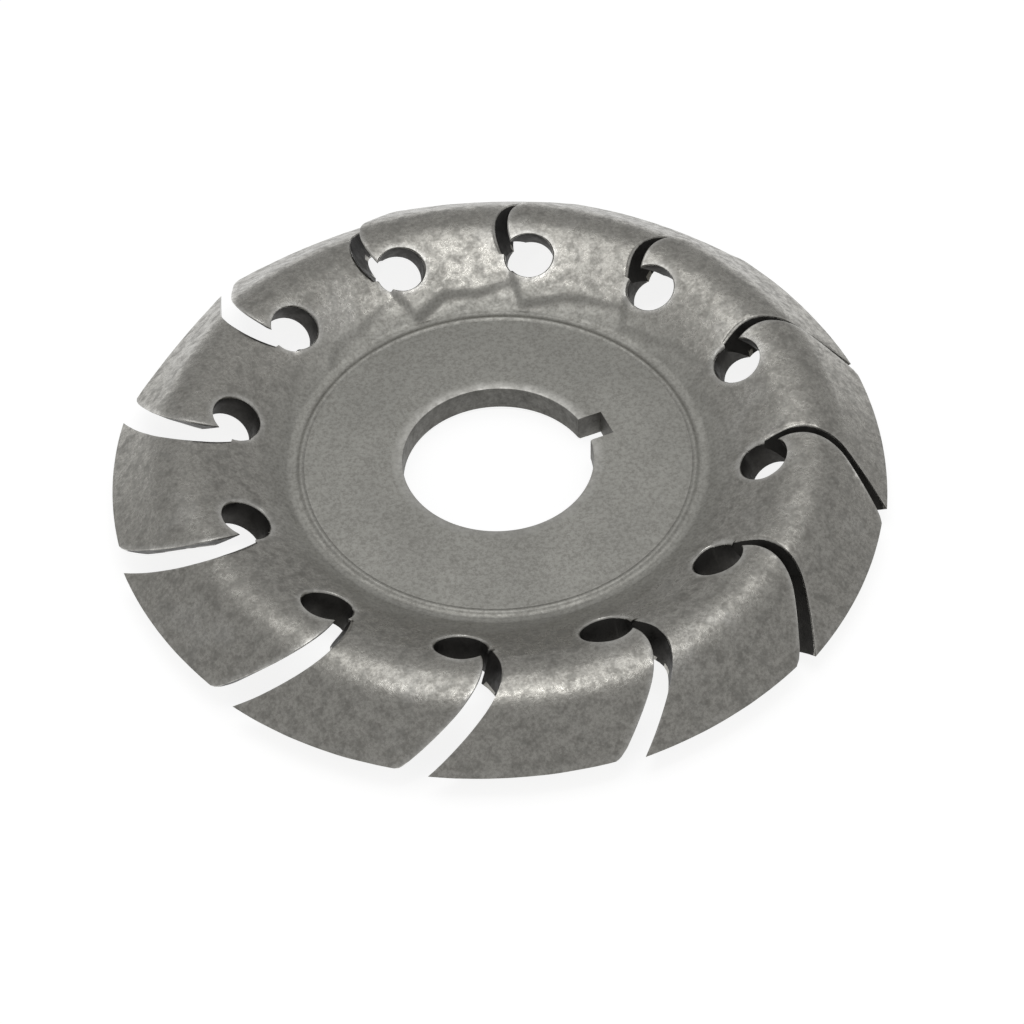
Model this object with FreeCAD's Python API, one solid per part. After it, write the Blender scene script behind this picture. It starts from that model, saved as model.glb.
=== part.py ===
"""Carving disc for an angle grinder, pressed and ground from one piece of steel plate.

Millimetres. The origin is the centre of the bore, half way through the hub. +Z points
out of the hub's top face, which the crown stands above, and +X through the keyway. The
plate is flat at the hub, climbs a cone, turns over a rounded crown and falls to the
rim, with the same thickness all the way. Twelve holes, each with a curved slot from it
to the rim, divide it into twelve raked teeth. The disc is drawn with the hub's top face
at level zero, and moved to its origin at the end.
"""
import FreeCAD
import Part

import os
from math import atan2, cos, radians, sin, sqrt, tan

# Overall sizes
OUTER_DIAMETER = 65.0
BORE_DIAMETER = 16.0
PLATE_THICKNESS = 2.5
TOOTH_COUNT = 12

# Section: hub face, inner cone, crown, outer cone, rim face
CROWN_CIRCLE_DIAMETER = 51.2      # circle through the highest point of the crown
CROWN_HEIGHT = 3.6                # highest point above the hub face
CROWN_RADIUS = 5.2                # rounding of the top surface over the crown
INNER_SLOPE = 28.0                # degrees, hub side of the crown
OUTER_SLOPE = 38.0                # degrees, tooth side of the crown
RIM_FACE_SLOPE = 32.0             # degrees below level, ground under the cutting edge

# Locating ring pressed into the top face around the hub, at the foot of the cone
RING_WIDTH = 0.6
RING_HEIGHT = 0.16
GROOVE_WIDTH = 0.5
GROOVE_DEPTH = 0.12
FOOT_LAND = 0.233                 # flat left between the groove and the cone's foot

# Bore and keyway
BORE_CHAMFER = 0.15
KEYWAY_WIDTH = 2.6
KEYWAY_REACH = 10.0               # from the axis to the bottom of the keyway

# Gullet holes, square to the inner cone
HOLE_DIAMETER = 4.2
HOLE_CIRCLE_DIAMETER = 44.0
HOLE_CHAMFER = 0.15

# Slots, each an arc that starts radial and sweeps back towards the rim
SLOT_ROOT_WIDTH = 1.1
SLOT_MOUTH_WIDTH = 1.8
SLOT_SWEEP = 2.753                # how far it has swept back where it meets the rim
SLOT_TANGENT_DIAMETER = 49.0      # circle on which the slot runs radially
SLOT_OFFSET = 0.6                 # from the hole's radial line, at the hub face's level
SLOT_LEAN = 33.0                  # degrees that the cut leans from the disc's axis

# Teeth
HEEL_ROUNDING = 1.3               # length rounded off along both sides of the heel
TOOTH_RELIEF = 0.3                # fall of the rim's radius from cutting tip to heel

# Room that a cutter needs past the surface it cuts
OVERCUT = 1.5

OUTER_RADIUS = OUTER_DIAMETER / 2
BORE_RADIUS = BORE_DIAMETER / 2
HOLE_CIRCLE_RADIUS = HOLE_CIRCLE_DIAMETER / 2
CROWN_CIRCLE_RADIUS = CROWN_CIRCLE_DIAMETER / 2
SLOT_TANGENT_RADIUS = SLOT_TANGENT_DIAMETER / 2
SLOT_REACH = OUTER_RADIUS - SLOT_TANGENT_RADIUS
SLOT_ARC_RADIUS = (SLOT_REACH ** 2 + SLOT_SWEEP ** 2) / (2 * SLOT_SWEEP)
TOOTH_PITCH = 360.0 / TOOTH_COUNT
INNER = radians(INNER_SLOPE)
OUTER = radians(OUTER_SLOPE)
RIM_FACE = radians(RIM_FACE_SLOPE)

AXIS = FreeCAD.Vector(0, 0, 1)
ORIGIN = FreeCAD.Vector(0, 0, 0)


def section_point(radius, height):
    """A point of the section, in the plane through the axis and +X."""
    return FreeCAD.Vector(radius, 0, height)


def crown_point(slope, depth):
    """A point over the crown where the surface has this slope, this deep in the plate."""
    reach = CROWN_RADIUS - depth
    return section_point(CROWN_CIRCLE_RADIUS + reach * sin(slope),
                         CROWN_HEIGHT - CROWN_RADIUS + reach * cos(slope))


def cone_height(radius):
    """Height of the inner cone's top surface at a radius."""
    start = crown_point(-INNER, 0)
    return start.z - (start.x - radius) * tan(INNER)


def cone_foot(depth, level):
    """Where the inner cone, this deep in the plate, comes down to a level."""
    start = crown_point(-INNER, depth)
    return section_point(start.x - (start.z - level) / tan(INNER), level)


def rim_points():
    """The cutting edge, and the corner under it where the ground face ends."""
    top_end = crown_point(OUTER, 0)
    edge = section_point(OUTER_RADIUS, top_end.z - (OUTER_RADIUS - top_end.x) * tan(OUTER))
    face_length = PLATE_THICKNESS / sin(OUTER + RIM_FACE)
    corner = edge - section_point(cos(RIM_FACE), sin(RIM_FACE)) * face_length
    return edge, corner


def line(start, end):
    return Part.LineSegment(start, end).toShape()


def arc(start, middle, end):
    return Part.Arc(start, middle, end).toShape()


def plate():
    """The whole pressed plate, before anything is cut in it."""
    edge, corner = rim_points()
    foot = cone_foot(0, 0)
    groove_end = foot - section_point(FOOT_LAND, 0)
    groove_floor = groove_end - section_point(GROOVE_WIDTH / 2, GROOVE_DEPTH)
    ring_end = groove_end - section_point(GROOVE_WIDTH, 0)
    ring_top = ring_end + section_point(-RING_WIDTH / 2, RING_HEIGHT)
    ring_start = ring_end - section_point(RING_WIDTH, 0)
    under = -PLATE_THICKNESS
    chamfer_in = BORE_RADIUS + BORE_CHAMFER

    outline = [
        line(section_point(BORE_RADIUS, -BORE_CHAMFER), section_point(chamfer_in, 0)),
        line(section_point(chamfer_in, 0), ring_start),
        arc(ring_start, ring_top, ring_end),
        arc(ring_end, groove_floor, groove_end),
        line(groove_end, foot),
        line(foot, crown_point(-INNER, 0)),
        arc(crown_point(-INNER, 0), crown_point(0, 0), crown_point(OUTER, 0)),
        line(crown_point(OUTER, 0), edge),
        line(edge, corner),
        line(corner, crown_point(OUTER, PLATE_THICKNESS)),
        arc(crown_point(OUTER, PLATE_THICKNESS), crown_point(0, PLATE_THICKNESS),
            crown_point(-INNER, PLATE_THICKNESS)),
        line(crown_point(-INNER, PLATE_THICKNESS), cone_foot(PLATE_THICKNESS, under)),
        line(cone_foot(PLATE_THICKNESS, under), section_point(chamfer_in, under)),
        line(section_point(chamfer_in, under), section_point(BORE_RADIUS, under + BORE_CHAMFER)),
        line(section_point(BORE_RADIUS, under + BORE_CHAMFER),
             section_point(BORE_RADIUS, -BORE_CHAMFER)),
    ]
    face = Part.Face(Part.Wire(outline))
    return face.revolve(ORIGIN, AXIS, 360)


def keyway():
    """The rectangular notch in the bore, on +X."""
    height = PLATE_THICKNESS + 2 * OVERCUT
    corner = FreeCAD.Vector(0, -KEYWAY_WIDTH / 2, -PLATE_THICKNESS - OVERCUT)
    return Part.makeBox(KEYWAY_REACH, KEYWAY_WIDTH, height, corner)


def gullet_hole():
    """One hole square to the inner cone on +X, with its top edge broken."""
    mouth = section_point(HOLE_CIRCLE_RADIUS, cone_height(HOLE_CIRCLE_RADIUS))
    inward = section_point(sin(INNER), -cos(INNER))
    length = PLATE_THICKNESS + 2 * OVERCUT
    radius = HOLE_DIAMETER / 2
    drill = Part.makeCylinder(radius, length, mouth - inward * OVERCUT, inward)
    sink = Part.makeCone(radius + HOLE_CHAMFER + OVERCUT, radius, HOLE_CHAMFER + OVERCUT,
                         mouth - inward * OVERCUT, inward)
    return drill.fuse(sink)


def slot_width(radius):
    """Width of the slot at a radius, which grows evenly from hole to rim."""
    share = (radius - HOLE_CIRCLE_RADIUS) / (OUTER_RADIUS - HOLE_CIRCLE_RADIUS)
    return SLOT_ROOT_WIDTH + (SLOT_MOUTH_WIDTH - SLOT_ROOT_WIDTH) * share


def slot_side(radius, side):
    """A point on one side of the slot at hub level: +1 is the tip's side, -1 the heel's."""
    along = radius - SLOT_TANGENT_RADIUS
    middle = SLOT_OFFSET - SLOT_ARC_RADIUS + sqrt(SLOT_ARC_RADIUS ** 2 - along ** 2)
    return FreeCAD.Vector(radius, middle + side * slot_width(radius) / 2, 0)


def on_circle(radius, angle):
    """A point at hub level, at an angle in radians from +X."""
    return FreeCAD.Vector(radius * cos(angle), radius * sin(angle), 0)


def slot():
    """One slot with the rounded heel of the tooth before it, as a leaning prism."""
    root = HOLE_CIRCLE_RADIUS
    middle = (root + OUTER_RADIUS) / 2
    past = OUTER_RADIUS + OVERCUT
    heel_start = slot_side(OUTER_RADIUS - HEEL_ROUNDING, -1)
    heel_corner = slot_side(OUTER_RADIUS, -1)
    heel_angle = atan2(heel_corner.y, heel_corner.x)
    heel_end = on_circle(OUTER_RADIUS, heel_angle - HEEL_ROUNDING / OUTER_RADIUS)
    heel_chord = (heel_start + heel_end) / 2
    heel_middle = heel_chord + (heel_corner - heel_chord) * (sqrt(2) - 1)
    heel_out = on_circle(past, heel_angle - HEEL_ROUNDING / OUTER_RADIUS)
    heel_half = (root + heel_start.x) / 2
    tip_out = slot_side(past, 1)
    outline = [
        line(slot_side(root, 1), slot_side(root, -1)),
        arc(slot_side(root, -1), slot_side(heel_half, -1), heel_start),
        arc(heel_start, heel_middle, heel_end),
        line(heel_end, heel_out),
        line(heel_out, tip_out),
        arc(tip_out, slot_side(middle, 1), slot_side(root, 1)),
    ]
    face = Part.Face(Part.Wire(outline))
    rise = CROWN_HEIGHT + OVERCUT
    fall = PLATE_THICKNESS + OVERCUT
    lean = FreeCAD.Vector(0, tan(radians(SLOT_LEAN)), 1)
    face.translate(lean * -fall)
    return face.extrude(lean * (rise + fall))


def tooth_relief():
    """The sliver ground off one tooth's rim, from nothing at its tip to the heel."""
    edge, corner = rim_points()
    tip_point = slot_side(OUTER_RADIUS, 1)
    heel_point = slot_side(OUTER_RADIUS, -1)
    tip = atan2(tip_point.y, tip_point.x)
    heel = atan2(heel_point.y, heel_point.x) + radians(TOOTH_PITCH)
    past = OUTER_RADIUS + OVERCUT
    middle = (tip + heel) / 2
    outline = [
        arc(on_circle(OUTER_RADIUS, tip), on_circle(OUTER_RADIUS - TOOTH_RELIEF / 2, middle),
            on_circle(OUTER_RADIUS - TOOTH_RELIEF, heel)),
        line(on_circle(OUTER_RADIUS - TOOTH_RELIEF, heel), on_circle(past, heel)),
        arc(on_circle(past, heel), on_circle(past, middle), on_circle(past, tip)),
        line(on_circle(past, tip), on_circle(OUTER_RADIUS, tip)),
    ]
    face = Part.Face(Part.Wire(outline))
    low = min(edge.z, corner.z) - OVERCUT
    face.translate(AXIS * low)
    return face.extrude(AXIS * (CROWN_HEIGHT + OVERCUT - low))


def around(shape):
    """A copy of a cutter for each tooth."""
    copies = []
    for number in range(TOOTH_COUNT):
        copy = shape.copy()
        copy.rotate(ORIGIN, AXIS, number * TOOTH_PITCH)
        copies.append(copy)
    return copies


def carving_disc():
    disc = plate().cut(keyway())
    for cutter in (gullet_hole(), slot(), tooth_relief()):
        disc = disc.cut(around(cutter))
    disc = disc.removeSplitter()
    disc.translate(AXIS * PLATE_THICKNESS / 2)
    return disc


os.makedirs("parts", exist_ok=True)
carving_disc().exportStep("parts/carving_disc.step")
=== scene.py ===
"""Looks of the carving disc for an angle grinder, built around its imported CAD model.

The CAD node is the true plate. This adds what pressing, slitting and tumbling leave on
the real one: each tooth set higher at its heel than at its tip, a lip where its root was
pressed up, rounded heels and hole edges, shallow dents, and worn steel.
"""

from math import atan2, cos, exp, hypot, pi, radians, sin, sqrt, tan

import bpy
from mathutils import Matrix, Vector, noise


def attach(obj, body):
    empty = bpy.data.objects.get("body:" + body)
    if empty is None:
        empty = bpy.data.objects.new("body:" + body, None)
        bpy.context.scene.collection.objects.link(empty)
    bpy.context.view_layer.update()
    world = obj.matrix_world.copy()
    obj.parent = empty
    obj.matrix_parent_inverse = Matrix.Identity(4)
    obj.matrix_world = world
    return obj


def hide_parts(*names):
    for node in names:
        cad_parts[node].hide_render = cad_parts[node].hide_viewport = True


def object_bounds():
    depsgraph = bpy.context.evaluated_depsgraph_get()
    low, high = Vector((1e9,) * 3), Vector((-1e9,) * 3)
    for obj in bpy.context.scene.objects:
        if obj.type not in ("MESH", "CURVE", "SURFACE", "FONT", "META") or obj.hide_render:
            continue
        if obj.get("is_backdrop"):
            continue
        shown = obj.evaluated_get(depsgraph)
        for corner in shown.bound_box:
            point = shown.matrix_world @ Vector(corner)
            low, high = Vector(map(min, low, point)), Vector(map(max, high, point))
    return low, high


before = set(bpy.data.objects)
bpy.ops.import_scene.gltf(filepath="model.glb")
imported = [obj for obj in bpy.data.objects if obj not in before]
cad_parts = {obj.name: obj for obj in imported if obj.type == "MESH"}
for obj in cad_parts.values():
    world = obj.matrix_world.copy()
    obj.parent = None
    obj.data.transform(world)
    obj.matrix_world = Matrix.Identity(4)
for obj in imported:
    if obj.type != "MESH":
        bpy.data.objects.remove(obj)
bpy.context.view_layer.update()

bl_info = {
    "name": "Carving Disc",
    "version": (1, 0, 0),
    "blender": (4, 5, 0),
    "location": "3D Viewport > Sidebar > Disc",
    "description": "Models and finishes a carving disc for an angle grinder",
    "category": "Object",
}

MM = 0.001

# Slit and set by hand, no two teeth are alike. From the keyway's slot round: the step up
# from each tip to the heel before it, the slot's mouth, the lip at the tooth's root, how
# much the tooth's rim is flattened, all in millimetres, and the lean of the tip's wall.
STEPS_UP = (0.75, 0.6, 0.35, 1.1, 0.75, 0.6, 0.3, 0.1, 0.05, 0.1, 0.6, 0.75)
MOUTHS = (1.6, 1.3, 1.0, 0.9, 1.6, 2.2, 2.4, 2.4, 2.3, 1.9, 1.7, 1.8)
LIPS = (0.12, 0.26, 0.32, 0.12, 0.10, 0.08, 0.05, 0.05, 0.05, 0.05, 0.06, 0.10)
FLATS = (0.2, 0.2, 0.3, 0.6, 0.8, 0.1, 0.1, 0.0, 0.1, 0.1, 0.0, 0.1)
TIP_LEANS = (33, 33, 33, 33, -5, -5, -5, -5, -5, 6, 33, 33)

FORMED_START = 16.9 * MM    # radius at which the flat hub face gives way to formed steel
SET_START = 19.0 * MM       # radius at which the teeth begin to be set
SET_RUN = 5.5 * MM          # and how far out their set is full
HOLE_SHOULDER = 1.35 * MM   # inside the holes' circle, where a crease takes over from a slot
CREASE_BAND = 0.025         # share of a tooth over which two roots run together
OUTER_CUT = 1.5 * MM        # how far a slot's cutter goes past the rim
FLOOR_GAP = 0.01 * MM       # between the floor and the lowest tooth


def length(name, description, millimetres):
    return bpy.props.FloatProperty(name=name, description=description, default=millimetres * MM,
                                   subtype="DISTANCE", unit="LENGTH", precision=5)


def angle(name, description, degrees):
    return bpy.props.FloatProperty(name=name, description=description,
                                   default=radians(degrees), subtype="ANGLE", unit="ROTATION")


def count(name, description, number):
    return bpy.props.IntProperty(name=name, description=description, default=number, min=1)


def share(name, description, value):
    return bpy.props.FloatProperty(name=name, description=description, default=value,
                                   min=0.0, max=1.0, subtype="FACTOR")


def colour(name, description, value):
    return bpy.props.FloatVectorProperty(name=name, description=description, default=value,
                                         size=3, min=0.0, max=1.0, subtype="COLOR")


class PlateSettings(bpy.types.PropertyGroup):
    """Sizes of the pressed plate, as the CAD model has them"""
    outer: length("Outer diameter", "Across the tooth tips", 65.0)
    bore: length("Bore", "Diameter of the bore", 16.0)
    thickness: length("Thickness", "Thickness of the plate", 2.5)
    crown_circle: length("Crown circle", "Circle through the top of the crown", 51.2)
    crown_height: length("Crown height", "Top of the crown above the hub face", 3.6)
    crown_radius: length("Crown radius", "Rounding over the crown", 5.2)
    inner_slope: angle("Inner slope", "Slope on the hub's side of the crown", 28.0)
    outer_slope: angle("Outer slope", "Slope on the teeth's side of the crown", 38.0)
    rim_slope: angle("Rim slope", "Slope of the face ground under the cutting edge", 32.0)
    ring_width: length("Ring width", "Raised ring round the hub face", 0.6)
    ring_height: length("Ring height", "Height of the raised ring", 0.13)
    groove_width: length("Groove width", "Groove outside the ring", 0.5)
    groove_depth: length("Groove depth", "Depth of the groove", 0.04)
    foot_land: length("Foot land", "Flat between the groove and the cone's foot", 0.233)
    bore_edge: length("Bore edge", "Rounding of the bore's edges", 0.2)
    keyway_width: length("Keyway width", "Width of the notch in the bore", 2.6)
    keyway_reach: length("Keyway reach", "From the axis to the notch's bottom", 10.0)


class ToothSettings(bpy.types.PropertyGroup):
    """Sizes of the holes, slots and teeth"""
    teeth: count("Teeth", "Number of teeth", 12)
    hole: length("Hole", "Diameter of a gullet hole", 4.2)
    hole_circle: length("Hole circle", "Circle through the holes' centres", 44.0)
    hole_edge: length("Hole edge", "Rounding of a hole's top edge", 0.14)
    slot_root: length("Slot root", "Width of a slot at its hole", 1.1)
    slot_tangent: length("Slot tangent circle", "Circle on which a slot is radial", 49.0)
    slot_sweep: length("Slot sweep", "How far a slot has swept back at the rim", 2.753)
    slot_offset: length("Slot offset", "From the hole's radial line", 0.6)
    slot_lean: angle("Slot lean", "Lean of the cut from the disc's axis", 33.0)
    heel_lean: angle("Heel lean", "Lean of a heel's wall at the rim", 38.0)
    heel_corner: length("Heel corner", "Rounding of the heel's corner at the rim", 0.9)
    heel_edge: length("Heel edge", "Rounding of the heel's top edge", 0.2)
    tip_edge: length("Tip edge", "Rounding of the tip's top edge", 0.1)
    relief: length("Relief", "Fall of the rim's radius from tip to heel", 0.3)
    heel_rise: length("Heel rise", "Most that a tooth's heel stands above the plate", 0.2)
    dent: length("Dents", "Depth of the tumbled dents", 0.03)


class SteelSettings(bpy.types.PropertyGroup):
    """Colours and finish of the steel"""
    hub: colour("Hub", "Blasted steel of the hub face", (0.41, 0.405, 0.375))
    tooth: colour("Tooth", "Tumbled steel of the teeth", (0.40, 0.39, 0.36))
    worn: colour("Worn edge", "Steel rubbed bright along edges", (0.66, 0.65, 0.62))
    # Stain colour: dark specks at random, and painted shade in the hollow inside each tooth's lip.
    stain_and_shade: colour("Stain", "Dark film left in hollows", (0.17, 0.16, 0.145))
    # Painted shade: the slit and punched walls, and more lightly the bore's wall, are painted near-black
    # where shade falls on them.
    wall: colour("Cut wall", "Scale left on punched and slit walls", (0.055, 0.053, 0.05))
    hub_roughness: share("Hub roughness", "Roughness of the hub face", 0.46)
    tooth_roughness: share("Tooth roughness", "Roughness of the teeth", 0.29)


class StageSettings(bpy.types.PropertyGroup):
    """Camera, lamps and floor"""
    camera_azimuth: angle("Camera azimuth", "Turn of the camera about the disc's axis", -21.1)
    camera_elevation: angle("Camera elevation", "Angle of the camera above the hub face", 47.9)
    camera_roll: angle("Camera roll", "Tilt of the camera about its line of sight", -2.12)
    camera_distance: length("Camera distance", "To the middle of the hub face", 220.0)
    lens: length("Lens", "Focal length", 92.5)
    sensor: length("Sensor", "Width of the sensor", 36.0)
    floor_size: length("Floor size", "Side of the square floor", 6000.0)
    softbox_height: length("Softbox height", "Overhead softbox above the floor", 340.0)
    softbox_size: length("Softbox size", "Side of the overhead softbox", 260.0)
    floor_shade: share("Floor shade", "Paleness of the floor under the lamps", 0.30)
    floor_glow: share("Floor glow", "White that the floor adds where it is looked at", 0.83)
    world_shade: share("World shade", "Paleness of the studio's surroundings", 0.48)


def deselect():
    if bpy.context.object and bpy.context.object.mode != "OBJECT":
        bpy.ops.object.mode_set(mode="OBJECT")
    bpy.ops.object.select_all(action="DESELECT")


def smooth(value):
    """From 0 to 1 with level ends, held outside them."""
    value = min(max(value, 0.0), 1.0)
    return value * value * (3.0 - 2.0 * value)


def plate():
    return bpy.context.scene.disc_plate


def tooth():
    return bpy.context.scene.disc_tooth


def face_level():
    """Height of the hub's top face. The origin is half way through the hub."""
    return plate().thickness / 2


def crown_point(slope, depth):
    """Radius and height above the hub face where the surface, this deep, has this slope."""
    p = plate()
    reach = p.crown_radius - depth
    return (p.crown_circle / 2 + reach * sin(slope),
            p.crown_height - p.crown_radius + reach * cos(slope))


def cone_foot(depth, level):
    radius, height = crown_point(-plate().inner_slope, depth)
    return radius - (height - level) / tan(plate().inner_slope)


def top_height(radius):
    """Height of the plate's top surface above the hub face."""
    p = plate()
    start, start_height = crown_point(-p.inner_slope, 0)
    end, end_height = crown_point(p.outer_slope, 0)
    if radius < start:
        return max(0.0, start_height - (start - radius) * tan(p.inner_slope))
    if radius < end:
        across = radius - p.crown_circle / 2
        return p.crown_height - p.crown_radius + sqrt(p.crown_radius ** 2 - across ** 2)
    return end_height - (radius - end) * tan(p.outer_slope)


def run(start, end, step):
    """Points from start towards end, about a step apart, without the last."""
    parts = max(1, round(hypot(end[0] - start[0], end[1] - start[1]) / step))
    return [(start[0] + (end[0] - start[0]) * n / parts, start[1] + (end[1] - start[1]) * n / parts)
            for n in range(parts)]


def crown_run(slopes, depth, parts):
    """Points over the crown between two slopes, without the last."""
    first, last = slopes
    return [crown_point(first + (last - first) * n / parts, depth) for n in range(parts)]


def bead(start, end, height, parts):
    """Points of a shallow rounded bead, or a groove if the height is negative."""
    return [(start + (end - start) * n / parts, height * sin(pi * n / parts)) for n in range(parts)]


def section():
    """The plate's outline as radius and height above the hub face, from the bore round."""
    p = plate()
    bore, edge, thick = p.bore / 2, p.bore_edge, p.thickness
    foot = cone_foot(0, 0)
    groove_end = foot - p.foot_land
    ring_end = groove_end - p.groove_width
    ring_start = ring_end - p.ring_width
    rim = (p.outer / 2, top_height(p.outer / 2))
    face = thick / sin(p.outer_slope + p.rim_slope)
    corner = (rim[0] - face * cos(p.rim_slope), rim[1] - face * sin(p.rim_slope))
    under_foot = (cone_foot(thick, -thick), -thick)
    points = run((bore, -thick + edge), (bore, -edge), 0.7 * MM)
    points += [(bore, -edge), (bore + 0.15 * edge, -0.3 * edge)]
    points += run((bore + edge, 0.0), (ring_start, 0.0), 0.8 * MM)
    points += bead(ring_start, ring_end, p.ring_height, 6)
    points += bead(ring_end, groove_end, -p.groove_depth, 5)
    points += run((groove_end, 0.0), (foot, 0.0), 0.2 * MM)
    points += run((foot, 0.0), crown_point(-p.inner_slope, 0), 0.27 * MM)
    points += crown_run((-p.inner_slope, p.outer_slope), 0, 20)
    points += run(crown_point(p.outer_slope, 0), rim, 0.33 * MM)
    points += run(rim, corner, 0.45 * MM)
    points += run(corner, crown_point(p.outer_slope, thick), 0.6 * MM)
    points += crown_run((p.outer_slope, -p.inner_slope), thick, 9)
    points += run(crown_point(-p.inner_slope, thick), under_foot, 0.6 * MM)
    points += run(under_foot, (bore + edge, -thick), 1.0 * MM)
    points += [(bore + edge, -thick)]
    return points


def draw_outline(points):
    """A closed outline drawn point by point in the plane through the axis and +X."""
    deselect()
    places = [Vector((radius, 0.0, height + face_level())) for radius, height in points]
    bpy.ops.mesh.primitive_plane_add(size=MM, location=places[0])
    bpy.ops.object.transform_apply(location=True, rotation=True, scale=True)
    bpy.ops.object.mode_set(mode="EDIT")
    bpy.ops.mesh.select_all(action="SELECT")
    bpy.ops.mesh.merge(type="CENTER")
    for before, after in zip(places, places[1:]):
        bpy.ops.mesh.extrude_vertices_move(TRANSFORM_OT_translate={"value": after - before})
    bpy.ops.mesh.extrude_vertices_move(TRANSFORM_OT_translate={"value": places[0] - places[-1]})
    return bpy.context.object


def spun(name, points, steps):
    """A closed solid of revolution about the disc's axis."""
    solid = draw_outline(points)
    solid.name = name
    bpy.ops.mesh.select_all(action="SELECT")
    bpy.ops.mesh.remove_doubles(threshold=0.001 * MM)
    bpy.ops.mesh.spin(steps=steps, angle=2 * pi, center=(0, 0, 0), axis=(0, 0, 1))
    bpy.ops.mesh.select_all(action="SELECT")
    bpy.ops.mesh.remove_doubles(threshold=0.002 * MM)
    bpy.ops.mesh.normals_make_consistent(inside=False)
    bpy.ops.object.mode_set(mode="OBJECT")
    return solid


def slot_middle(radius):
    """Sideways place of a slot's centre line, at the hub face's level."""
    t = tooth()
    reach = plate().outer / 2 - t.slot_tangent / 2
    arc = (reach ** 2 + t.slot_sweep ** 2) / (2 * t.slot_sweep)
    return t.slot_offset - arc + sqrt(max(0.0, arc ** 2 - (radius - t.slot_tangent / 2) ** 2))


def slot_width(radius, number):
    t = tooth()
    root = t.hole_circle / 2
    mouth = MOUTHS[number % t.teeth] * MM
    return t.slot_root + (mouth - t.slot_root) * (radius - root) / (plate().outer / 2 - root)


def wall_slope(radius, side, number):
    """Sideways run of a slot's wall for its depth: side is -1 at the heel, +1 at the tip."""
    t = tooth()
    tip_lean = radians(TIP_LEANS[number % t.teeth])
    heel = smooth((radius - 24.0 * MM) / (4.0 * MM))
    tip = smooth((radius - 23.6 * MM) / (3.4 * MM))
    root = tan(t.slot_lean)
    heel_slope = root + (tan(t.heel_lean) - root) * heel
    tip_slope = root + (tan(tip_lean) - root) * tip
    return heel_slope + (tip_slope - heel_slope) * (side + 1) / 2


def slot_shift(radius, depth, side, number):
    """How far the cut has moved round at a depth under the top surface."""
    return top_height(radius) * tan(tooth().slot_lean) - depth * wall_slope(radius, side, number)


def fillet(depth, radius):
    """How far a rounded edge stands back at a depth under the surface it ends in."""
    if depth >= radius:
        return 0.0
    if depth <= 0.0:
        return radius - depth
    return radius - sqrt(radius ** 2 - (radius - depth) ** 2)


def slot_cutter(number):
    """A subdivided block drawn out along a slot, flared where it leaves the plate."""
    p, t = plate(), tooth()
    deselect()
    bpy.ops.mesh.primitive_cube_add(size=2.0)
    cutter = bpy.context.object
    bpy.ops.object.mode_set(mode="EDIT")
    bpy.ops.mesh.select_all(action="SELECT")
    bpy.ops.mesh.subdivide(number_cuts=31)
    bpy.ops.object.mode_set(mode="OBJECT")
    root, rim = t.hole_circle / 2, p.outer / 2
    past = rim + OUTER_CUT
    fine, coarse = 0.45 * MM, 9.0 * MM
    corner_start = rim - t.heel_corner
    for vertex in cutter.data.vertices:
        along, side, level = vertex.co
        radius = root + (past - root) * (along + 1) / 2
        depth = (0.6 - level) * fine if level > -0.5 else 1.1 * fine - (level + 0.5) * coarse
        height = top_height(min(radius, rim)) - depth
        half = slot_width(radius, number) / 2
        if side < 0:
            past_corner = min(max(radius - corner_start, 0.0), t.heel_corner)
            half += t.heel_corner - sqrt(t.heel_corner ** 2 - past_corner ** 2)
            half += fillet(depth, t.heel_edge)
        else:
            half += fillet(depth, t.tip_edge)
        sideways = slot_middle(radius) + side * half + slot_shift(min(radius, rim), depth, side, number)
        vertex.co = (radius, sideways, height + face_level())
    return cutter


def hole_cutter():
    """The tool that leaves one gullet hole, square to the inner cone on +X."""
    p, t = plate(), tooth()
    radius, edge = t.hole / 2, t.hole_edge
    centre = t.hole_circle / 2
    deselect()
    mouth = Vector((centre, 0.0, top_height(centre) + face_level()))
    axis = Vector((-sin(p.inner_slope), 0.0, cos(p.inner_slope)))
    bpy.ops.mesh.primitive_cylinder_add(vertices=56, radius=radius, depth=6.0 * MM, location=mouth,
                                        rotation=(0.0, -p.inner_slope, 0.0))
    bpy.ops.object.transform_apply(location=True, rotation=True, scale=True)
    cutter = bpy.context.object
    for turn in range(7):
        depth = edge * (1.0 - turn / 6.0)
        deselect()
        cutter.select_set(True)
        bpy.context.view_layer.objects.active = cutter
        bpy.ops.object.mode_set(mode="EDIT")
        bpy.ops.mesh.select_all(action="SELECT")
        bpy.ops.mesh.bisect(plane_co=mouth - axis * depth, plane_no=axis)
        bpy.ops.object.mode_set(mode="OBJECT")
    for vertex in cutter.data.vertices:
        above = (vertex.co - mouth).dot(axis)
        from_axis = vertex.co - (mouth + axis * above)
        vertex.co += from_axis.normalized() * fillet(-above, edge)
    return cutter


def keyway_cutter():
    """The square notch in the bore, on +X."""
    p = plate()
    deselect()
    bpy.ops.mesh.primitive_cube_add(size=1.0, location=(p.keyway_reach / 2, 0.0, 0.0),
                                    scale=(p.keyway_reach, p.keyway_width, 3 * p.thickness))
    bpy.ops.object.transform_apply(location=True, rotation=True, scale=True)
    return bpy.context.object


def cut(solid, cutter):
    """Takes the cutter out of the solid and removes it."""
    deselect()
    solid.select_set(True)
    bpy.context.view_layer.objects.active = solid
    modifier = solid.modifiers.new("cut", "BOOLEAN")
    modifier.object = cutter
    modifier.operation = "DIFFERENCE"
    modifier.solver = "MANIFOLD"
    bpy.ops.object.modifier_apply(modifier=modifier.name)
    bpy.data.objects.remove(cutter)


def turned(cutter, number):
    """A copy of a cutter at another tooth, with a mesh of its own."""
    copy = cutter.copy()
    copy.data = cutter.data.copy()
    bpy.context.collection.objects.link(copy)
    copy.data.transform(Matrix.Rotation(2 * pi * number / tooth().teeth, 4, "Z"))
    return copy


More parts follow.
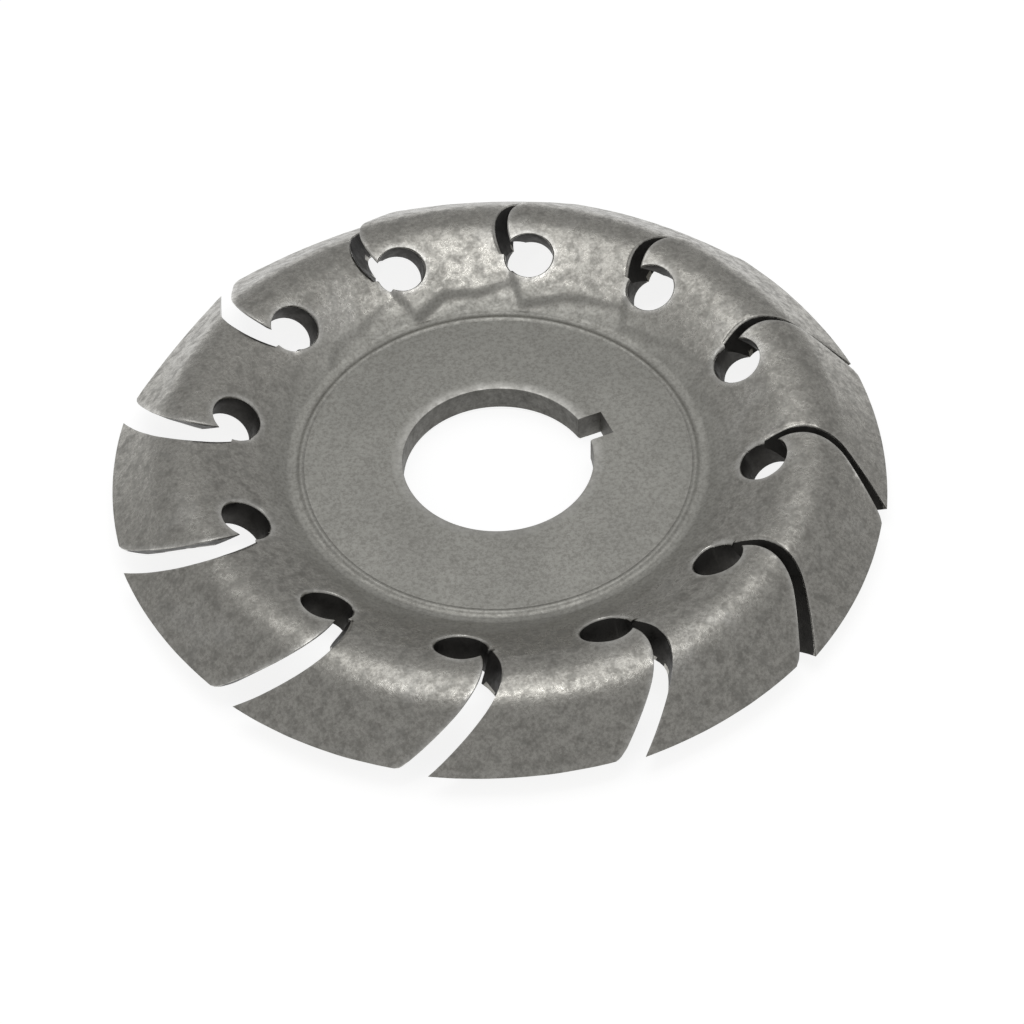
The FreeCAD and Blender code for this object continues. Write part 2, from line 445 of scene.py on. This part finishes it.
def slot_turn(radius, height, number):
    """Angle from a hole's radial line to its slot's centre line."""
    depth = max(0.0, top_height(radius) - height)
    return atan2(slot_middle(radius) + slot_shift(radius, depth, 0.0, number), radius)


def root_turn(radius, height, number):
    """The same inside the holes, where a crease runs on from each slot to the hub."""
    t = tooth()
    start = t.hole_circle / 2 - HOLE_SHOULDER
    crease = radians(4.0) - radians(2.8) * smooth((start - radius) / (2.6 * MM))
    blend = smooth((radius - start) / HOLE_SHOULDER)
    return crease + (slot_turn(t.hole_circle / 2, height, number) - crease) * blend


def tooth_place(point):
    """Number of the tooth at a point, and the share of the way from its tip to its heel."""
    t = tooth()
    radius = hypot(point.x, point.y)
    height = point.z - face_level()
    edge_turn = root_turn if radius < t.hole_circle / 2 else slot_turn
    turns = atan2(point.y, point.x) / (2 * pi) * t.teeth
    near = int(turns // 1)
    for number in (near - 1, near, near + 1):
        tip = number + edge_turn(radius, height, number) / (2 * pi) * t.teeth
        heel = number + 1 + edge_turn(radius, height, number + 1) / (2 * pi) * t.teeth
        if tip <= turns < heel:
            return number % t.teeth, (turns - tip) / (heel - tip)
    raise RuntimeError("a point lies on no tooth")


def lip_radius(number, place):
    """Where a tooth's root was pressed up: nearest the hub at its heel, and wavy."""
    wave = noise.noise(Vector((number * 3.7, place * 3.0, 0.5)))
    ripple = noise.noise(Vector((number * 1.9, place * 9.0, 4.5)))
    return (20.0 - 2.0 * place + 0.5 * wave + 0.1 * ripple) * MM


def tooth_rise(point, number, place):
    """How far setting the teeth lifts a point that is this far along a tooth."""
    t = tooth()
    radius = hypot(point.x, point.y)
    tip_step = STEPS_UP[number % t.teeth] * MM
    heel_step = STEPS_UP[(number + 1) % t.teeth] * MM
    heel_rise = min(t.heel_rise, 0.4 * heel_step)
    tip_fall = tip_step - min(t.heel_rise, 0.4 * tip_step)
    bend = place * place * heel_rise - (1.0 - place) ** 2 * tip_fall
    return bend * smooth((radius - SET_START) / SET_RUN)


def lip_rise(point, number, place):
    """The lip and the hollow inside it at a tooth's root."""
    height = LIPS[number % tooth().teeth] * MM
    radius = hypot(point.x, point.y)
    lip = lip_radius(number % tooth().teeth, place)
    up = smooth((radius - lip + 0.25 * MM) / (0.5 * MM))
    away = 1.0 - smooth((radius - 20.5 * MM) / (3.5 * MM))
    hollow = exp(-((radius - lip + 0.5 * MM) / (0.35 * MM)) ** 2)
    flat = smooth((radius - FORMED_START) / (0.6 * MM))
    return height * ((0.2 + 0.8 * place) * up * away - 0.2 * hollow * flat)


def over_crease(point, rise):
    """A rise, run together over a narrow band where two teeth's roots meet."""
    number, place = tooth_place(point)
    own = rise(point, number, place)
    if hypot(point.x, point.y) > tooth().hole_circle / 2 - HOLE_SHOULDER:
        return own
    if place < CREASE_BAND:
        return own + (rise(point, number - 1, 1.0) - own) * 0.5 * (1.0 - place / CREASE_BAND)
    if place > 1.0 - CREASE_BAND:
        to_heel = 1.0 - place
        return own + (rise(point, number + 1, 0.0) - own) * 0.5 * (1.0 - to_heel / CREASE_BAND)
    return own


def pressed(point, on_top):
    """Where a point of the plain plate lies once the teeth are set and tumbled."""
    p, t = plate(), tooth()
    radius = hypot(point.x, point.y)
    number, place = tooth_place(point)
    rise = over_crease(point, tooth_rise)
    rim_share = smooth((radius - 28.0 * MM) / (p.outer / 2 - 28.0 * MM))
    outer_share = smooth((radius - 25.0 * MM) / (p.outer / 2 - 25.0 * MM))
    flat = FLATS[number] * MM * 4.0 * place * (1.0 - place) * outer_share
    inward = t.relief * place * rim_share + flat
    if on_top and radius > FORMED_START:
        rise += over_crease(point, lip_rise)
        steel = smooth((radius - 17.5 * MM) / (3.0 * MM))
        broad = noise.noise(point * 420.0 + Vector((0.0, 0.0, number * 2.1)))
        fine = noise.noise(point * 1300.0)
        rise += steel * t.dent * (broad + 0.5 * fine)
    elif on_top:
        rise += 0.012 * MM * noise.noise(point * 160.0)
    scale = (radius - inward) / radius
    return Vector((point.x * scale, point.y * scale, point.z + rise))


def edge_wear(point, normal):
    """1 on an edge that rubbing has brightened, falling to 0 a little way from it."""
    p, t = plate(), tooth()
    radius = hypot(point.x, point.y)
    wear = 1.0 - abs(radius - p.bore / 2 - 0.1 * MM) / (0.35 * MM)
    number, place = tooth_place(point)
    arc = 2 * pi / t.teeth * radius
    if radius > t.hole_circle / 2 + 1.0 * MM:
        heel = (1.0 - place) * arc - slot_width(radius, number + 1) / 2
        tip = place * arc - slot_width(radius, number) / 2
        wear = max(wear, 0.9 - abs(heel - 0.15 * MM) / (0.4 * MM), 0.5 - abs(tip) / (0.35 * MM))
        wear = max(wear, 0.6 - abs(radius - p.outer / 2 + 0.1 * MM) / (0.4 * MM))
    step = 2 * pi / t.teeth
    nearest = round(atan2(point.y, point.x) / step) * step
    centre = t.hole_circle / 2
    mouth = Vector((centre * cos(nearest), centre * sin(nearest), top_height(centre) + face_level()))
    axis = Vector((-sin(p.inner_slope) * cos(nearest), -sin(p.inner_slope) * sin(nearest),
                   cos(p.inner_slope)))
    offset = point - mouth
    from_axis = (offset - axis * offset.dot(axis)).length
    wear = max(wear, 1.0 - abs(from_axis - t.hole / 2 - t.hole_edge) / (0.38 * MM))
    return min(max(wear, 0.0), 1.0) * (1.0 if normal.z > 0.2 else 0.0)


def mixed(nodes, links, factor, first, second):
    """A colour between two, each a colour or a socket."""
    mix = nodes.new("ShaderNodeMix")
    mix.data_type = "RGBA"
    for name, value in (("A", first), ("B", second)):
        socket = next(s for s in mix.inputs if s.name == name and s.type == "RGBA")
        if isinstance(value, bpy.types.NodeSocket):
            links.new(value, socket)
        else:
            socket.default_value = (*value, 1.0)
    links.new(factor, mix.inputs["Factor"])
    return next(s for s in mix.outputs if s.type == "RGBA")


def ranged(nodes, links, value, low, high, to_low, to_high):
    """A value carried from one range to another, held at its ends."""
    node = nodes.new("ShaderNodeMapRange")
    node.interpolation_type = "SMOOTHSTEP"
    for name, number in (("From Min", low), ("From Max", high), ("To Min", to_low), ("To Max", to_high)):
        node.inputs[name].default_value = number
    links.new(value, node.inputs["Value"])
    return node.outputs["Result"]


def maths(nodes, links, operation, first, second):
    """A sum, product or the like of two sockets or numbers."""
    node = nodes.new("ShaderNodeMath")
    node.operation = operation
    for place, value in enumerate((first, second)):
        if isinstance(value, bpy.types.NodeSocket):
            links.new(value, node.inputs[place])
        else:
            node.inputs[place].default_value = value
    return node.outputs["Value"]


def speckle(nodes, links, vector, scale, detail, roughness=0.55):
    """A noise of this many features to the metre."""
    node = nodes.new("ShaderNodeTexNoise")
    node.inputs["Scale"].default_value = scale
    node.inputs["Detail"].default_value = detail
    node.inputs["Roughness"].default_value = roughness
    links.new(vector, node.inputs["Vector"])
    return node.outputs["Fac"]


def attribute(nodes, name):
    node = nodes.new("ShaderNodeAttribute")
    node.attribute_name = name
    return node.outputs["Fac"]


def steel_material():
    """Blasted hub, tumbled teeth, bright edges, and painted shade: darker in the hollows inside the lips,
    near-black on the cut walls.
    """
    settings = bpy.context.scene.disc_steel
    material = bpy.data.materials.new("worn_steel")
    material.use_nodes = True
    nodes, links = material.node_tree.nodes, material.node_tree.links
    shader = nodes["Principled BSDF"]
    shader.inputs["Metallic"].default_value = 1.0
    place = nodes.new("ShaderNodeTexCoord").outputs["Object"]
    flat = nodes.new("ShaderNodeVectorMath")
    flat.operation = "MULTIPLY"
    flat.inputs[1].default_value = (1.0, 1.0, 0.0)
    links.new(place, flat.inputs[0])
    radius = nodes.new("ShaderNodeVectorMath")
    radius.operation = "LENGTH"
    links.new(flat.outputs["Vector"], radius.inputs[0])
    radius = radius.outputs["Value"]
    is_tooth = ranged(nodes, links, radius, 17.0 * MM, 21.0 * MM, 0.0, 1.0)

    broad = speckle(nodes, links, place, 140.0, 3.0)
    blotch = speckle(nodes, links, place, 1100.0, 5.0, 0.72)
    grain = speckle(nodes, links, place, 3600.0, 3.0, 0.7)
    film_and_painted_shade = ranged(nodes, links, blotch, 0.42, 0.66, 0.0, 1.0)
    hub_tone = mixed(nodes, links, ranged(nodes, links, broad, 0.3, 0.7, 0.0, 1.0),
                     Vector(settings.hub) * 0.92, Vector(settings.hub) * 1.06)
    tooth_tone = mixed(nodes, links, film_and_painted_shade, Vector(settings.tooth) * 1.13, Vector(settings.tooth) * 0.74)
    rubbed = ranged(nodes, links, broad, 0.55, 0.72, 0.0, 0.3)
    tooth_tone = mixed(nodes, links, rubbed, tooth_tone, settings.worn)
    tone = mixed(nodes, links, is_tooth, hub_tone, tooth_tone)
    specks = ranged(nodes, links, grain, 0.35, 0.7, 0.0, 0.48)
    tone = mixed(nodes, links, specks, tone, settings.stain_and_shade)
    # Painted shade: the hollow mask darkens the steel along the hollow inside each lip.
    hollow = attribute(nodes, "hollow")
    tone = mixed(nodes, links, maths(nodes, links, "MULTIPLY", hollow, 0.3), tone, settings.stain_and_shade)
    worn = maths(nodes, links, "MULTIPLY", attribute(nodes, "wear"),
                 ranged(nodes, links, blotch, 0.35, 0.6, 0.9, 0.45))
    tone = mixed(nodes, links, worn, tone, settings.worn)
    # Painted shade: the cut walls are turned near-black.
    wall = attribute(nodes, "wall")
    tone = mixed(nodes, links, wall, tone, settings.wall)
    links.new(tone, shader.inputs["Base Color"])

    base = ranged(nodes, links, is_tooth, 0.0, 1.0, settings.hub_roughness, settings.tooth_roughness)
    rough = maths(nodes, links, "ADD", base, ranged(nodes, links, blotch, 0.3, 0.7, -0.08, 0.14))
    rough = maths(nodes, links, "ADD", rough, maths(nodes, links, "MULTIPLY", wall, 0.2))
    links.new(rough, shader.inputs["Roughness"])

    coarse = nodes.new("ShaderNodeBump")
    coarse.inputs["Strength"].default_value = 0.6
    coarse.inputs["Distance"].default_value = 0.05 * MM
    links.new(maths(nodes, links, "MULTIPLY", blotch, is_tooth), coarse.inputs["Height"])
    fine = nodes.new("ShaderNodeBump")
    fine.inputs["Strength"].default_value = 0.5
    fine.inputs["Distance"].default_value = 0.018 * MM
    links.new(grain, fine.inputs["Height"])
    links.new(coarse.outputs["Normal"], fine.inputs["Normal"])
    links.new(fine.outputs["Normal"], shader.inputs["Normal"])
    return material


class CARVINGDISC_OT_disc(bpy.types.Operator):
    """Spin the plate, cut it, set its teeth and give it its finish"""
    bl_idname = "carving_disc.disc"
    bl_label = "Model Disc"

    def execute(self, context):
        teeth = tooth().teeth
        disc = spun("tumbled_disc", section(), teeth * 36)
        cut(disc, keyway_cutter())
        hole = hole_cutter()
        for number in range(teeth):
            cut(disc, turned(hole, number))
            slot = slot_cutter(number)
            cut(disc, turned(slot, number))
            bpy.data.objects.remove(slot)
        bpy.data.objects.remove(hole)
        if len(disc.data.polygons) < 1000:
            raise RuntimeError("the plate was lost while it was cut")

        mesh = disc.data
        wear = mesh.attributes.new("wear", "FLOAT", "POINT")
        hollow = mesh.attributes.new("hollow", "FLOAT", "POINT")
        places = []
        for vertex in mesh.vertices:
            point, normal = vertex.co.copy(), vertex.normal.copy()
            radius = hypot(point.x, point.y)
            on_top = point.z - face_level() > top_height(radius) - 0.8 * MM
            wear.data[vertex.index].value = edge_wear(point, normal) if on_top else 0.0
            number, place = tooth_place(point)
            # Painted shade along the hollow just inside each lip, darker where the lip is taller and
            # towards the heel.
            dip = (radius - lip_radius(number, place) + 0.3 * MM) / (0.22 * MM)
            film_and_painted_shade = exp(-dip ** 2) * min(1.0, LIPS[number] / 0.3) * (0.3 + 0.7 * place)
            hollow.data[vertex.index].value = film_and_painted_shade if on_top and radius > 17 * MM else 0.0
            places.append(pressed(point, on_top))
        # Painted shade: faces of the slit and punched walls get 1 and the bore's wall 0.6, so that they
        # show near-black.
        wall = mesh.attributes.new("wall", "FLOAT", "FACE")
        for face in mesh.polygons:
            centre = face.center
            radius = hypot(centre.x, centre.y)
            outward = Vector((centre.x, centre.y, 0.0)).normalized()
            tilt = (top_height(radius + 0.2 * MM) - top_height(radius - 0.2 * MM)) / (0.4 * MM)
            surface = (Vector((0.0, 0.0, 1.0)) - outward * tilt).normalized()
            deep = (top_height(radius) + face_level() - centre.z) * surface.z
            in_plate = 19 * MM < radius < plate().outer / 2 - 0.3 * MM
            in_wall = 0.15 * MM < deep < plate().thickness - 0.1 * MM
            faces_out = abs(face.normal.dot(outward)) > 0.5 and face.normal.z < 0.0
            on_rim = radius > 30.0 * MM and faces_out
            shaded_bore_wall = radius < plate().keyway_reach + 0.1 * MM and abs(face.normal.z) < 0.3
            shaded_cut_face = in_plate and in_wall and not on_rim
            wall.data[face.index].value = 1.0 if shaded_cut_face else 0.6 * shaded_bore_wall
        for vertex, place in zip(mesh.vertices, places):
            vertex.co = place
        mesh.update()

        deselect()
        disc.select_set(True)
        context.view_layer.objects.active = disc
        bpy.ops.object.shade_smooth_by_angle(angle=radians(32.0))
        disc.data.materials.clear()
        disc.data.materials.append(steel_material())
        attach(disc, "root")
        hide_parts("carving_disc")
        return {"FINISHED"}


def floor_material():
    """Pale floor that shows white to the camera and keeps the disc's shadow."""
    settings = bpy.context.scene.disc_stage
    material = bpy.data.materials.new("pale_floor")
    material.use_nodes = True
    nodes, links = material.node_tree.nodes, material.node_tree.links
    matt = nodes["Principled BSDF"]
    matt.inputs["Base Color"].default_value = (*[settings.floor_shade] * 3, 1.0)
    matt.inputs["Roughness"].default_value = 0.9
    matt.inputs["Specular IOR Level"].default_value = 0.0
    matt.inputs["Emission Color"].default_value = (1.0, 1.0, 1.0, 1.0)
    ray = nodes.new("ShaderNodeLightPath")
    seen = maths(nodes, links, "MAXIMUM", ray.outputs["Is Camera Ray"], ray.outputs["Is Glossy Ray"])
    seen = maths(nodes, links, "MAXIMUM", seen, ray.outputs["Is Transmission Ray"])
    links.new(maths(nodes, links, "MULTIPLY", seen, settings.floor_glow), matt.inputs["Emission Strength"])
    return material


class CARVINGDISC_OT_stage(bpy.types.Operator):
    """Set the camera, the lamps, the world and the floor"""
    bl_idname = "carving_disc.stage"
    bl_label = "Set Stage"

    def execute(self, context):
        s = context.scene.disc_stage
        flat = cos(s.camera_elevation)
        back = Vector((sin(s.camera_azimuth) * flat, -cos(s.camera_azimuth) * flat,
                       sin(s.camera_elevation)))
        deselect()
        bpy.ops.object.camera_add()
        camera = context.object
        camera.name = "camera"
        turn = (-back).to_track_quat("-Z", "Y").to_matrix().to_4x4()
        place = Vector((0.0, 0.0, face_level())) + back * s.camera_distance
        camera.matrix_world = Matrix.Translation(place) @ turn @ Matrix.Rotation(s.camera_roll, 4, "Z")
        camera.data.sensor_width = s.sensor / MM
        camera.data.lens = s.lens / MM
        camera.data.shift_x = 0.0137
        camera.data.shift_y = -0.0531
        camera.data.clip_start = 0.01
        context.scene.camera = camera

        deselect()
        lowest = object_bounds()[0].z
        bpy.ops.mesh.primitive_plane_add(size=s.floor_size, location=(0, 0, lowest - FLOOR_GAP))
        floor = context.object
        floor.name = "floor"
        floor.data.materials.append(floor_material())
        floor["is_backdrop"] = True

        side = s.softbox_size
        high = s.softbox_height
        lamps = (
            ("overhead_softbox", Vector((0.02, 0.05, high)), (side, side), 0.20),
            ("front_tube", Vector((0.0, -0.02, high)), (0.8 * side, 0.008), 0.055),
            ("back_tube", Vector((-0.05, 0.22, 0.9 * high)), (0.8 * side, 0.010), 0.010),
        )
        for name, place, size, power in lamps:
            deselect()
            bpy.ops.object.light_add(type="AREA", location=place)
            lamp = context.object
            lamp.name = name
            lamp.data.shape = "RECTANGLE"
            lamp.data.size, lamp.data.size_y = size
            lamp.data.energy = power
            lamp.rotation_mode = "QUATERNION"
            lamp.rotation_quaternion = (-place).to_track_quat("-Z", "Y")

        world = bpy.data.worlds.new("studio")
        context.scene.world = world
        world.use_nodes = True
        background = world.node_tree.nodes["Background"]
        background.inputs["Color"].default_value = (*[s.world_shade] * 3, 1.0)
        context.scene.view_settings.view_transform = "Standard"
        return {"FINISHED"}


class CARVINGDISC_PT_panel(bpy.types.Panel):
    """Steps that model and finish the disc"""
    bl_idname = "CARVINGDISC_PT_panel"
    bl_label = "Carving Disc"
    bl_space_type = "VIEW_3D"
    bl_region_type = "UI"
    bl_category = "Disc"

    def draw(self, context):
        for name in GROUPS:
            settings = getattr(context.scene, name)
            for value in settings.__annotations__:
                self.layout.prop(settings, value)
        for step in STEPS:
            self.layout.operator(step.bl_idname)


GROUPS = {"disc_plate": PlateSettings, "disc_tooth": ToothSettings, "disc_steel": SteelSettings,
          "disc_stage": StageSettings}
STEPS = (CARVINGDISC_OT_disc, CARVINGDISC_OT_stage)
CLASSES = (*GROUPS.values(), *STEPS, CARVINGDISC_PT_panel)


def register():
    for item in CLASSES:
        bpy.utils.register_class(item)
    for name, group in GROUPS.items():
        setattr(bpy.types.Scene, name, bpy.props.PointerProperty(type=group))


def unregister():
    for name in GROUPS:
        delattr(bpy.types.Scene, name)
    for item in reversed(CLASSES):
        bpy.utils.unregister_class(item)


def main():
    register()
    bpy.ops.carving_disc.disc()
    bpy.ops.carving_disc.stage()


if __name__ == "__main__":
    main()
